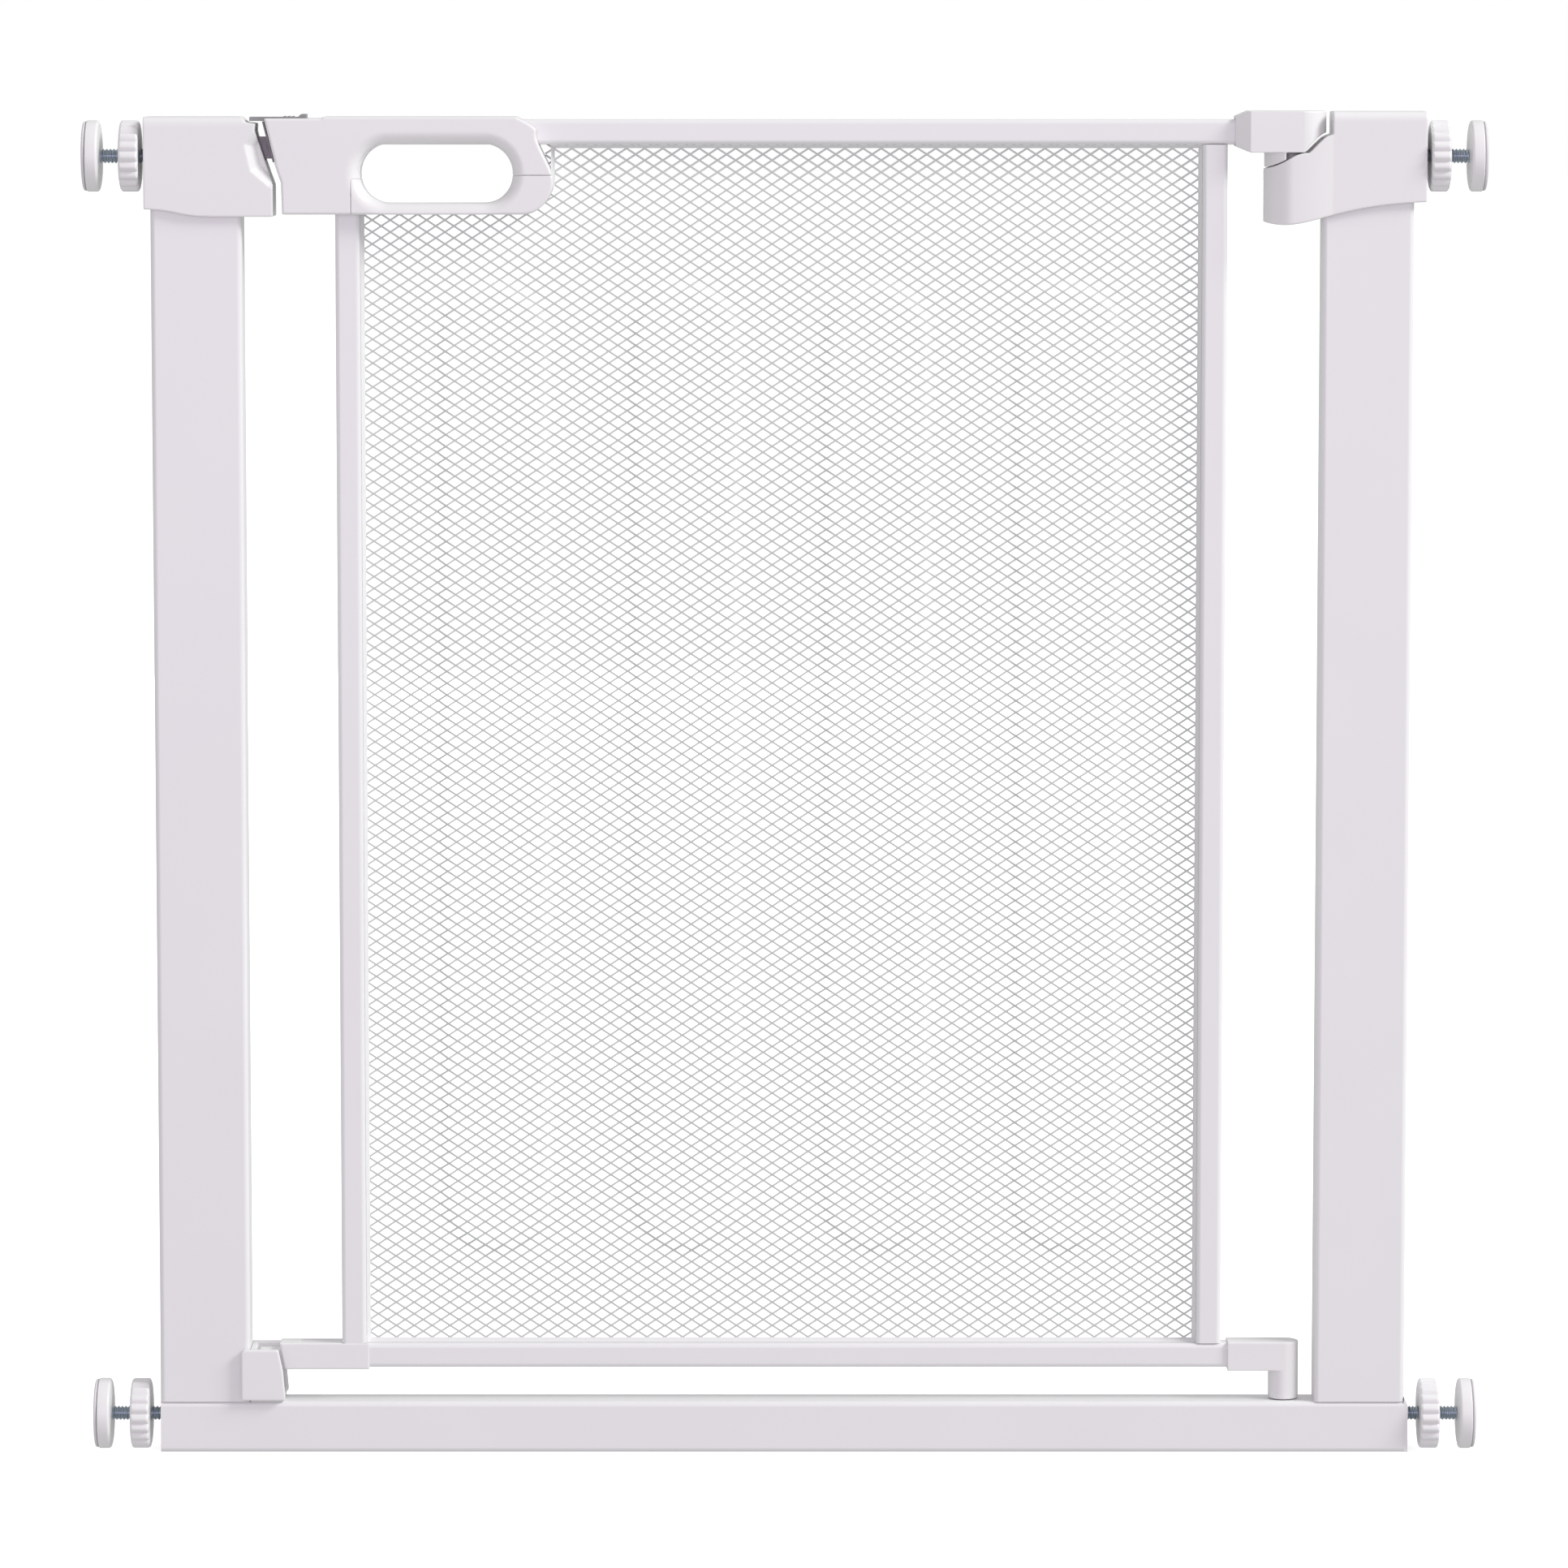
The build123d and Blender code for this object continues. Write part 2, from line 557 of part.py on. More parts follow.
def latch():
    """Bolt with a sloping nose, thumb slide with ribs and a nub, face plate and return spring."""
    top = BOLT_DROP
    low = BOLT_DROP + BOLT_H
    nose = polygon(
        (bolt_slope(top) - BOLT_REACH, GATE_H - top),
        (bolt_slope(low) - BOLT_REACH, GATE_H - low),
        (BOLT_BACK, GATE_H - low),
        (BOLT_BACK, GATE_H - top),
    )
    nodes["latch_bolt"] = front_slab(nose, BOLT_W)

    tongue_x = LEFT_INNER + 4.5
    slide_top = GATE_H - 3.4
    half = SLIDE_W / 2
    slide = box(tongue_x, LEFT_INNER + 36.2, -half, half, SLIDE_LOW, slide_top)
    slide += box(
        STEM_X - STEM_W / 2, STEM_X + STEM_W / 2, -STEM_W / 2, STEM_W / 2,
        GATE_H - BOLT_DROP, SLIDE_LOW,
    )
    for i in range(3):
        slide += rod_y(LEFT_INNER + 24.0 + 2.3 * i, -half + 1, half - 1, slide_top, 0.55)
    nub = polygon(
        (LEFT_INNER + 31.6, slide_top),
        (LEFT_INNER + 33.4, GATE_H - 1.8),
        (LEFT_INNER + 36.2, GATE_H - 1.8),
        (LEFT_INNER + 36.2, slide_top),
    )
    slide += front_slab(nub, SLIDE_W - 2)
    nodes["thumb_slide"] = slide

    plate = polygon(
        (LEFT_INNER + 11.8, GATE_H - 5.9),
        (LEFT_INNER + 17.7, GATE_H - 28.6),
        (LEFT_INNER + 17.8 + PLATE_T, GATE_H - 28.6),
        (LEFT_INNER + 11.9 + PLATE_T, GATE_H - 5.9),
    )
    window = box(
        LEFT_INNER + 8.8, LEFT_INNER + 23.8, -BOLT_W / 2 - MOVE_FIT, BOLT_W / 2 + MOVE_FIT,
        GATE_H - low - MOVE_FIT, GATE_H - top + MOVE_FIT,
    )
    nodes["latch_face_plate"] = front_slab(plate, 22.0) - window

    wire_r = 0.45
    coil_r = 3.2
    turns = 6
    length = SPRING_END - BOLT_BACK - 2 * wire_r - 2 * SEAM
    helix = Helix(pitch=length / turns, height=length, radius=coil_r)
    wire = sweep(Plane(origin=helix @ 0, z_dir=helix % 0) * Circle(wire_r), path=helix)
    z = GATE_H - (top + low) / 2
    nodes["return_spring"] = Pos(BOLT_BACK + wire_r + SEAM, 0, z) * Rot(0, 90, 0) * wire


def mesh_panel():
    """The sheet that stands for the expanded metal, with four long raised stadium panels."""
    x0, x1 = LATCH_STILE_X + RAIL + SEAM, HINGE_STILE_X - SEAM
    z0, z1 = BASE_TOP + SEAM, RAIL_LOW - SEAM
    sheet = front_slab(polygon((x0, z0), (x1, z0), (x1, z1), (x0, z1)), MESH_T, MESH_Y)
    low, high = BASE_TOP + EMBOSS_END_LOW, RAIL_LOW - EMBOSS_END_HIGH
    first = LATCH_STILE_X + RAIL + EMBOSS_MARGIN + EMBOSS_W / 2
    last = HINGE_STILE_X - EMBOSS_MARGIN - EMBOSS_W / 2
    front = MESH_Y - MESH_T / 2
    for i in range(EMBOSS_COUNT):
        x = first + (last - first) * i / (EMBOSS_COUNT - 1)
        stadium = Pos(x, (low + high) / 2) * Rot(0, 0, 90) * SlotOverall(high - low, EMBOSS_W)
        pan = extrude(Plane.XZ.offset(-front) * stadium, amount=EMBOSS_H, taper=EMBOSS_SLOPE)
        sheet += pan
        sheet -= Pos(0, MESH_T, 0) * pan
    for dx, dz in ((0, 0), (0.4, 0), (0, -0.4)):
        sheet -= Pos(dx, 0, dz) * front_slab(handle_outline(), HANDLE_D)
    nodes["mesh_panel"] = sheet


def top_hinge_block():
    """The door's upper hinge arm, with a part-round cam follower under its left side."""
    x = HINGE_X
    z = GATE_H
    ramp = cam_line(CAM_GAP)[0]
    under = -23.1
    profile = polygon(
        (x - 32.1, z - 19.6),
        (x - 32.1, z - 2.9),
        (x - 24.7, z),
        (x + 25.0, z),
        (x + 25.0, z - 12.4),
        (x + 17.6, z - 12.4),
        (x + 13.5, z - 15.0),
        (x + 8.5, z - 20.1),
        (x + 6.4, z + under),
        (x - 23.6, z + under),
    )
    half = BLOCK_D / 2
    neck = RAIL / 2 + 1.2
    plan = make_face(
        Curve() + [
            Polyline((x + 6, half), (x - 24.0, half), (x - 32.1, neck), (x - 32.1, -neck),
                     (x - 24.0, -half), (x + 6, -half)),
            ThreePointArc((x + 6, -half), (x + 19.3, 0), (x + 6, half)),
        ]
    )
    body = front_slab(profile, BLOCK_D + 2) & plan_slab(plan, z - 40, z)
    follower_top = Polyline(ramp @ 1, (x + 8.6, z + under + 1), (x - 16.5, z + under + 1),
                            (x - 16.5, (ramp @ 0).Y), ramp @ 0)
    follower = front_slab(make_face(Curve() + [ramp, follower_top]), BLOCK_D + 2)
    follower &= rod_z(x, 0, z - 40, z, BARREL_R - 0.4)
    follower &= box(x - 20, x - 4.0, -20, 20, z - 40, z)
    body += follower
    # a collar round the pin, which turns inside the barrel's bore
    body += rod_z(x, 0, z - COLLAR_DROP, z + under, TOP_BUSH_R + SEAM - MOVE_FIT)
    gap = SLIDE_FIT / 2
    body -= box(
        x - 40, x - 24.0 + gap, -RAIL / 2 - gap, RAIL / 2 + gap, RAIL_LOW - gap, RAIL_TOP + gap
    )
    body -= rod_z(x, 0, z - 40, z - 3.5, TOP_PIN_R + RUN_FIT)
    body -= screw_hole_y(x - 27.5, RAIL_TOP - RAIL / 2, 11.0, 6.0)
    nodes["top_hinge_block"] = body


def bottom_hinge_elbow():
    """The door's lower hinge arm: a sleeve on the rail that turns down into a barrel on the bar."""
    x = HINGE_X
    low, high = DOOR_CLEAR - 1.7, BASE_TOP + 0.9
    r = LOW_BARREL_R
    arm = box(x - 32.4, x, -r, r, low, high) + rod_z(x, 0, BAR_H + 0.5, high, r)
    gap = SLIDE_FIT / 2
    arm -= box(
        x - 40, x - 24.0 + gap, -RAIL / 2 - gap, RAIL / 2 + gap, DOOR_CLEAR - gap, BASE_TOP + gap
    )
    arm -= rod_z(x, 0, 0, high - 2.0, LOW_PIN_R + RUN_FIT)
    arm -= screw_hole_y(x - 28.0, DOOR_CLEAR + RAIL / 2, r + 1.2, 4.5, head_t=1.2)
    nodes["bottom_hinge_elbow"] = arm
    nodes["hinge_arm_screws"] = Compound(
        [
            screw_y(x - 28.0, DOOR_CLEAR + RAIL / 2, r + 1.2, 4.5, head_t=1.2),
            screw_y(x - 27.5, RAIL_TOP - RAIL / 2, 11.0, 6.0),
        ]
    )


def closing_foot():
    """The sleeve on the bottom rail's latch end, with a tongue that drops into the bottom catch."""
    end_x = LATCH_STILE_X - 35.6
    sleeve = polygon(
        (end_x, BASE_TOP + 0.3),
        (end_x + 2.8, DOOR_CLEAR - 0.9),
        (LATCH_STILE_X + RAIL + 1.7, DOOR_CLEAR - 0.9),
        (LATCH_STILE_X + RAIL + 1.7, BASE_TOP + 0.3),
    )
    depth = RAIL + 1.6
    body = front_slab(sleeve, depth)
    tongue_w = 10.0
    body += box(
        LEFT_INNER + 5.0, end_x + 4, -tongue_w / 2, tongue_w / 2, DOOR_CLEAR - 0.9, BASE_TOP - 4.0
    )
    gap = SLIDE_FIT / 4
    body -= tube_solid(LATCH_STILE_X - 24.0 - gap, LATCH_STILE_X + 60, gap)
    body -= box(
        LATCH_STILE_X - gap, LATCH_STILE_X + RAIL + gap, -RAIL / 2 - gap, RAIL / 2 + gap,
        BASE_TOP - 1, BASE_TOP + 5,
    )
    body -= box(
        LATCH_STILE_X + RAIL, LATCH_STILE_X + RAIL + 5, -RAIL / 2, RAIL / 2, BASE_TOP, BASE_TOP + 5
    )
    body -= screw_hole_y(end_x + 20.0, DOOR_CLEAR + RAIL / 2, depth / 2 + 1.0, 4.2, head_t=1.2)
    nodes["closing_foot"] = body
    nodes["foot_screw"] = screw_y(
        end_x + 20.0, DOOR_CLEAR + RAIL / 2, depth / 2 + 1.0, 4.2, head_t=1.2
    )


def tube_solid(x0, x1, gap):
    """The bottom rail's outer shape plus a gap all round, as a cutter."""
    size = RAIL + 2 * gap
    return Pos(x0, 0, DOOR_CLEAR + RAIL / 2) * Rot(0, 90, 0) * extrude(
        RectangleRounded(size, size, RAIL_CORNER + gap), amount=x1 - x0
    )


def hinge_pins():
    """The upper pin hangs in the barrel; the lower one stands in the bar. Both lift with the door."""
    nodes["upper_hinge_pin"] = rod_z(HINGE_X, 0, GATE_H - 60.6, GATE_H - 4.0, TOP_PIN_R)
    nodes["lower_hinge_pin"] = rod_z(HINGE_X, 0, 4.5, BASE_TOP - 3.0, LOW_PIN_R)


# ------------------------------------------------------------------ wall spindles


def knob_solid():
    """A scalloped hand wheel with a threaded bore, lying along +X from the origin."""
    lobe_r = 2 * math.pi * KNOB_R / KNOB_LOBES / 2 * 0.96
    ring = KNOB_R - lobe_r
    face = Circle(ring + 0.25 * lobe_r)
    face += [loc * Circle(lobe_r) for loc in PolarLocations(ring, KNOB_LOBES)]
    wheel = extrude(face, amount=KNOB_T)
    dish = Cone(KNOB_R + EDGE_R / 2, KNOB_R - EDGE_R, EDGE_R * 1.5)
    keep = Pos(0, 0, KNOB_T - EDGE_R * 0.75) * dish
    keep += Pos(0, 0, EDGE_R * 0.75) * Rot(180, 0, 0) * dish
    keep += Pos(0, 0, KNOB_T / 2) * Cylinder(KNOB_R + EDGE_R / 2, KNOB_T - EDGE_R * 3)
    wheel &= keep
    wheel -= Cylinder(ROD_R + RUN_FIT, 4 * KNOB_T)
    return Rot(0, 90, 0) * wheel


def cup_solid():
    """A round wall cup lying along +X: pad side at the origin, hub towards +X."""
    profile = Polyline(
        (0, 0), (CUP_R - 0.6, 0), (CUP_R, 0.6), (CUP_R, CUP_T - 0.8), (CUP_R - 0.8, CUP_T),
        (ROD_R + 4, CUP_T), (0, CUP_T), close=True,
    )
    cup = revolve(Plane.XZ * make_face(profile), Axis.Z)
    cup -= Pos(0, 0, CUP_T - 2.5) * Cylinder(ROD_R, 5.0)
    return Rot(0, 90, 0) * cup


def spindles():
    """Four rods with a hand wheel and a padded wall cup each, and the guide sleeves in the frame."""
    places = {
        "upper_left": (-1, HIGH_SPINDLE_Z, LATCH_WALL + KNOB_GAP_LEFT),
        "upper_right": (1, HIGH_SPINDLE_Z, HINGE_WALL + KNOB_GAP_RIGHT),
        "lower_left": (-1, LOW_SPINDLE_Z, LATCH_WALL + KNOB_GAP_LEFT),
        "lower_right": (1, LOW_SPINDLE_Z, HINGE_WALL + KNOB_GAP_RIGHT),
    }
    guides = []
    for place, (side, z, standoff) in places.items():
        knob_near = FRAME_W / 2 + standoff
        cup_near = knob_near + KNOB_T + CUP_STANDOFF
        turn = Rot(0, 0, 180) if side < 0 else Rot(0, 0, 0)
        rod = turn * rod_x(FRAME_W / 2 - ROD_REACH, cup_near + 5.0, 0, z, ROD_R)
        nodes[f"spindle_{place}"] = rod
        nodes[f"knob_{place}"] = turn * Pos(knob_near, 0, z) * knob_solid()
        cup = Rot(0, 0, 180) * cup_solid()
        nodes[f"cup_{place}"] = turn * Pos(cup_near + CUP_T, 0, z) * cup
        nodes[f"pad_{place}"] = turn * rod_x(
            cup_near + CUP_T, cup_near + CUP_T + PAD_T, 0, z, CUP_R - 1.0
        )
        start = FRAME_W / 2
        sleeve = rod_x(start - GUIDE_L, start, 0, z, GUIDE_R)
        sleeve -= rod_x(start - GUIDE_L - 1, start + 1, 0, z, ROD_R + RUN_FIT)
        guides.append(turn * sleeve)
    nodes["rod_guides"] = Compound(guides)


# ------------------------------------------------------------------ assembly

bolt_places = posts()
bottom_bar(bolt_places)
bar_plugs()
latch_housing()
hinge_housing()
bottom_catch()
lower_hinge_bush()
nodes["housing_screws"] = Compound(housing_screws(-1) + housing_screws(1))
door_tubes()
handle()
latch()
mesh_panel()
top_hinge_block()
bottom_hinge_elbow()
closing_foot()
hinge_pins()
spindles()

os.makedirs("parts", exist_ok=True)
for name, shape in nodes.items():
    export_step(shape, f"parts/{name}.step")
    print(name, len(shape.solids()), round(shape.volume))
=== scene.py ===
# %% [markdown]
# # A pressure-fitted baby gate
#
# The real gate is white powder-coated tube with moulded white fittings, a door filled with expanded
# metal mesh, and four threaded spindles that press rubber-faced cups against the walls. This lesson
# loads the engineered model, whose every part is already in its place, and gives it its looks: first
# a short way to write node networks, then the camera and the light, then the finishes, and then the
# pieces whose fine shape only a mesh can give.

# %% Load the engineered model
import bmesh
import bpy
import json
import math
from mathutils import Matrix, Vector


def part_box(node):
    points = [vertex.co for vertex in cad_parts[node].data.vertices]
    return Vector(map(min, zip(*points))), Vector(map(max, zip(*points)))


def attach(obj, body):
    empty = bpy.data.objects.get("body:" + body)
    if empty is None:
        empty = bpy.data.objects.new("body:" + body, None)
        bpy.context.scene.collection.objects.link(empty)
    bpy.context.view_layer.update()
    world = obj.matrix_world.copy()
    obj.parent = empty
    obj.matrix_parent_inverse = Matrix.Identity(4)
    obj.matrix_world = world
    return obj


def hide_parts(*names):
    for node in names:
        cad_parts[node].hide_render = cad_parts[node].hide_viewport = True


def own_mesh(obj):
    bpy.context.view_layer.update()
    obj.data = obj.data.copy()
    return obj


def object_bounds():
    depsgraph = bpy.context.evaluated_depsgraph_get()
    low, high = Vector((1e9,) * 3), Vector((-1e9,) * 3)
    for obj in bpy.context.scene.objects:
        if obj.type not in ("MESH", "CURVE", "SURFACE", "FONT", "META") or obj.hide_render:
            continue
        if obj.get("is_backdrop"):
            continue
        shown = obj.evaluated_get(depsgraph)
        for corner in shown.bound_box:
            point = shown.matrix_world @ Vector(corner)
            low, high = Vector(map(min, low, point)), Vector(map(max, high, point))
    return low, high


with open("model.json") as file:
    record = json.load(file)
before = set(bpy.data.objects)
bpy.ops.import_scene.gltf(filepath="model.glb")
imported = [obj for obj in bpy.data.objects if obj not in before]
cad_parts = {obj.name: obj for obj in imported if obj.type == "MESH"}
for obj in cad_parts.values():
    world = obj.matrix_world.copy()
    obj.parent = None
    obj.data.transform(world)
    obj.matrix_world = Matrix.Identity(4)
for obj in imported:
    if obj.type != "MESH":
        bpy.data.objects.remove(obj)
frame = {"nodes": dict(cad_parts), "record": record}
cad_box = [list(corner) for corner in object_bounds()]
nodes = frame["nodes"]
gate_top = cad_box[1][2]
MM = 0.001
PLACES = ("upper_left", "upper_right", "lower_left", "lower_right")

# %% [markdown]
# ## Writing node networks as sums
#
# A finish is a small network of nodes. To keep it readable, the class below wraps an output socket,
# so that `grain * 0.3 + 0.4` adds the Math nodes for it, and `1 - mask` works too. Colours and
# vectors don't go through Math nodes, which would turn them grey: they have their own mix method.


# %% A socket that can be used in sums
class Wire:
    """One output socket of a net, with the arithmetic that this lesson uses."""

    def __init__(self, net, socket):
        self.net = net
        self.socket = socket

    def _sum(self, operation, first, second):
        return self.net.node("ShaderNodeMath", {"operation": operation}, {0: first, 1: second})

    def __add__(self, other):
        return self._sum("ADD", self, other)

    def __radd__(self, other):
        return self._sum("ADD", other, self)

    def __sub__(self, other):
        return self._sum("SUBTRACT", self, other)

    def __rsub__(self, other):
        return self._sum("SUBTRACT", other, self)

    def __mul__(self, other):
        return self._sum("MULTIPLY", self, other)

    def __rmul__(self, other):
        return self._sum("MULTIPLY", other, self)


# %% [markdown]
# Every node comes from one method. It sets the node's own settings first, because some of them
# change which sockets the node has, and then fills or links the sockets.


# %% A net of nodes
class Net:
    """The nodes of one material or world. node() adds a node and gives back one of its outputs."""

    def __init__(self, tree):
        self.tree = tree
        tree.nodes.clear()

    def node(self, kind, settings=None, inputs=None, output=0):
        made = self.tree.nodes.new(kind)
        for name, value in (settings or {}).items():
            if name == "stops":
                self._set_stops(made.color_ramp, value)
            else:
                setattr(made, name, value)
        for name, value in (inputs or {}).items():
            if isinstance(value, Wire):
                self.tree.links.new(value.socket, made.inputs[name])
            else:
                made.inputs[name].default_value = value
        return Wire(self, made.outputs[output]) if made.outputs else None

    @staticmethod
    def _set_stops(ramp, stops):
        while len(ramp.elements) < len(stops):
            ramp.elements.new(1.0)
        for element, (position, value) in zip(ramp.elements, stops):
            element.position = position
            element.color = (value, value, value, 1.0)


# %% A finish
class Finish(Net):
    """A material in the making, with the few patterns that this gate needs."""

    def __init__(self, name):
        self.material = bpy.data.materials.new(name)
        self.material.use_nodes = True
        super().__init__(self.material.node_tree)

    def place(self, stretch):
        """The point on the piece, in metres, with each axis stretched by its own share."""
        coordinates = self.node("ShaderNodeTexCoord", output="Object")
        return self.node("ShaderNodeMapping", None, {"Vector": coordinates, "Scale": stretch})

    def noise(self, per_metre, detail=2.0, roughness=0.5, stretch=(1.0, 1.0, 1.0)):
        """Soft clouds, about `per_metre` of them along a metre, from 0 to 1."""
        return self.node(
            "ShaderNodeTexNoise",
            None,
            {"Vector": self.place(stretch), "Scale": per_metre, "Detail": detail, "Roughness": roughness},
            "Fac",
        )

    def ramp(self, value, *stops):
        return self.node("ShaderNodeValToRGB", {"stops": stops}, {"Fac": value})

    def tint(self, share, first, second):
        """A colour between two, by a share that varies over the surface."""
        mix = {"Factor": share, 6: (*first, 1.0), 7: (*second, 1.0)}
        return self.node("ShaderNodeMix", {"data_type": "RGBA"}, mix, 2)

    def bump(self, height, depth, strength):
        """Relief whose full height is `depth` metres."""
        relief = {"Height": height, "Distance": depth, "Strength": strength}
        return self.node("ShaderNodeBump", None, relief)

    def surface(self, **sockets):
        """Ends the finish in one Principled shader. Names are the sockets' with _ for a space."""
        inputs = {name.replace("_", " "): value for name, value in sockets.items()}
        shader = self.node("ShaderNodeBsdfPrincipled", None, inputs)
        self.node("ShaderNodeOutputMaterial", None, {"Surface": shader})
        print("finish:", self.material.name, "with", len(self.tree.nodes), "nodes")
        return self.material


# %% [markdown]
# ## The camera
#
# The gate is seen square from the front by an eye a little above its top, four metres away, through
# a long lens, which keeps the posts nearly parallel. The camera is tilted down a few degrees to put
# the gate in the middle. A very small lens shift takes over part of that tilt. A large one would
# make the posts quite parallel, but it would push the gate out of the frame in other views.

# %% Camera
EYE = (0.001, -4.022, 0.820)
TILT = 5.837  # degrees down
FRONT_Y = -0.0125  # the posts' front faces
VIEW_W = 0.8803  # width that the frame takes in at the posts' front faces
SHIFT = -0.03
SENSOR_W = 36.0
NEAR = 0.1
FAR = 100.0


def make_camera():
    data = bpy.data.cameras.new("camera")
    data.sensor_width = SENSOR_W
    data.lens = SENSOR_W * (FRONT_Y - EYE[1]) / VIEW_W
    data.shift_y = SHIFT
    data.clip_start = NEAR
    data.clip_end = FAR
    camera = bpy.data.objects.new("camera", data)
    camera.location = EYE
    camera.rotation_euler = (math.radians(90 - TILT), 0.0, 0.0)
    bpy.context.scene.collection.objects.link(camera)
    bpy.context.scene.camera = camera
    print("lens", round(data.lens, 1), "mm")


make_camera()

# %% [markdown]
# ## Light
#
# The gate stands in a white studio. A broad soft light high on the right gives the right-hand edges
# their bright line and leaves the left-hand sides in shade. A weak lilac light from the front tints
# only the faces that look forwards, and another lights the back.

# %% Lamps
GATE_MIDDLE = (0.0, 0.0, 0.4)
LILAC = (1.05, 0.80, 1.12)


def area_light(name, place, size, power, colour=(1.0, 1.0, 1.0)):
    """A square soft light that points at the gate."""
    data = bpy.data.lights.new(name, "AREA")
    data.size = size
    data.energy = power
    data.color = colour
    lamp = bpy.data.objects.new(name, data)
    bpy.context.scene.collection.objects.link(lamp)
    lamp.location = place
    lamp.rotation_euler = (Vector(GATE_MIDDLE) - lamp.location).to_track_quat("-Z", "Y").to_euler()
    return lamp


key = area_light("key", (6.90, -2.60, 5.60), 2.8, 556.0)
front = area_light("front", (-0.4, -4.6, 1.0), 2.0, 33.0, LILAC)
back = area_light("back", (-0.8, 4.6, 1.1), 2.0, 22.0)
back.visible_glossy = False  # or it would glare on the bar's top, seen from the front
print("lights:", [(lamp.name, lamp.data.energy) for lamp in (key, front, back)])

# %% [markdown]
# ## Surroundings
#
# The world gives even fill light, and is seen itself as plain white, as a lit backdrop would be. The
# floor is a wide sheet of pale paper that glows a little, so that it meets the backdrop without a
# line. It takes no part in lighting the gate, which the world already does.

# %% World and floor
WHITE = (1.0, 1.0, 1.0, 1.0)
FILL_STRENGTH = 0.58
FLOOR_HALF = 30.0
FLOOR_DROP = 0.2 * MM  # below the bar's underside, so that the two don't flicker


def make_world():
    """Even fill light for the gate, and plain white where the camera looks past it."""
    world = bpy.data.worlds.new("studio")
    world.use_nodes = True
    bpy.context.scene.world = world
    net = Net(world.node_tree)
    fill = net.node("ShaderNodeBackground", None, {"Color": WHITE, "Strength": FILL_STRENGTH})
    seen = net.node("ShaderNodeBackground", None, {"Color": WHITE, "Strength": 1.0})
    looked_at = net.node("ShaderNodeLightPath", output="Is Camera Ray")
    either = net.node("ShaderNodeMixShader", None, {0: looked_at, 1: fill, 2: seen})
    net.node("ShaderNodeOutputWorld", None, {"Surface": either})


def studio_paper():
    return Finish("studio_paper").surface(
        Base_Color=(0.9, 0.9, 0.9, 1.0),
        Roughness=0.9,
        Emission_Color=WHITE,
        Emission_Strength=0.6,
    )


def make_floor():
    mesh = bpy.data.meshes.new("floor")
    ways = ((-1, -1), (1, -1), (1, 1), (-1, 1))
    corners = [(x * FLOOR_HALF, y * FLOOR_HALF, -FLOOR_DROP) for x, y in ways]
    mesh.from_pydata(corners, [], [(0, 1, 2, 3)])
    mesh.materials.append(studio_paper())
    floor = bpy.data.objects.new("floor", mesh)
    bpy.context.scene.collection.objects.link(floor)
    floor.visible_diffuse = False
    floor.visible_glossy = False
    floor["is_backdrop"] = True


bpy.context.scene.view_settings.view_transform = "Standard"
make_world()
make_floor()

# %% [markdown]
# ## White powder coat
#
# Powder coat is baked on as dust, so it dries with a faint orange-peel ripple about a millimetre
# across, and a few finer specks. Its colour hardly changes, but its gloss does, in soft clouds. The
# tubes and the rails have it. The mesh's narrow strands get a darker, slightly greener copy of it:
# the darker tone is painted shade on the thin strands.


# %% Powder coat
def powder_coat(name, darker, lighter):
    coat = Finish(name)
    clouds = coat.noise(14.0, 3.0)
    peel = coat.noise(850.0, 2.0, 0.45)
    specks = coat.ramp(coat.noise(2600.0, 1.0), (0.62, 0.0), (0.74, 1.0))
    return coat.surface(
        Base_Color=coat.tint(clouds, darker, lighter),
        Roughness=0.30 + clouds * 0.10 + specks * 0.08,
        Specular_IOR_Level=0.5,
        Normal=coat.bump(peel + specks * 0.25, 0.02 * MM, 0.5),
    )


POWDER_COAT = powder_coat("white_powder_coat", (0.785, 0.785, 0.790), (0.815, 0.815, 0.815))
# The mesh's copy of the coat is darker: painted shade on its thin strands.
MESH_COAT_PAINTED_SHADE = powder_coat("mesh_coat_painted_shade", (0.590, 0.620, 0.593), (0.630, 0.660, 0.633))

# %% [markdown]
# ## White moulded plastic
#
# The fittings are moulded in a fine-grained tool, so their gloss is broken up more finely than the
# tubes', and their white is a touch warmer.


# %% Moulded plastics
def moulded_plastic(name, darker, lighter, gloss):
    plastic = Finish(name)
    flow = plastic.noise(22.0, 2.0, stretch=(0.5, 1.0, 1.6))
    grain = plastic.noise(2400.0, 2.0, 0.6)
    return plastic.surface(
        Base_Color=plastic.tint(flow, darker, lighter),
        Roughness=gloss + grain * 0.10 + flow * 0.05,
        Specular_IOR_Level=0.45,
        Normal=plastic.bump(grain, 0.012 * MM, 0.5),
    )


WHITE_PLASTIC = moulded_plastic("white_moulding", (0.785, 0.785, 0.785), (0.815, 0.813, 0.810), 0.30)
GREY_PLASTIC = moulded_plastic("grey_moulding", (0.250, 0.250, 0.255), (0.300, 0.300, 0.305), 0.36)
BUSH_NYLON = moulded_plastic("bush_nylon", (0.560, 0.560, 0.530), (0.620, 0.620, 0.590), 0.42)

# %% [markdown]
# ## Metals and rubber
#
# Zinc plate has a cool, slightly cloudy gloss. The latch bolt and its face plate are darkened steel,
# drawn up and down, so their scratches run that way. The wall pads are pale rubber, quite matt.

# %% Metals
ALONG_THE_ROD = (0.2, 1.0, 1.0)
UP_AND_DOWN = (1.0, 1.0, 0.12)


def plated_steel(name, darker, lighter, gloss, stretch=(1.0, 1.0, 1.0)):
    steel = Finish(name)
    clouds = steel.noise(180.0, 3.0)
    scratches = steel.noise(1500.0, 2.0, 0.6, stretch)
    return steel.surface(
        Base_Color=steel.tint(clouds, darker, lighter),
        Metallic=1.0,
        Roughness=gloss + scratches * 0.16,
        Normal=steel.bump(scratches, 0.01 * MM, 0.4),
    )


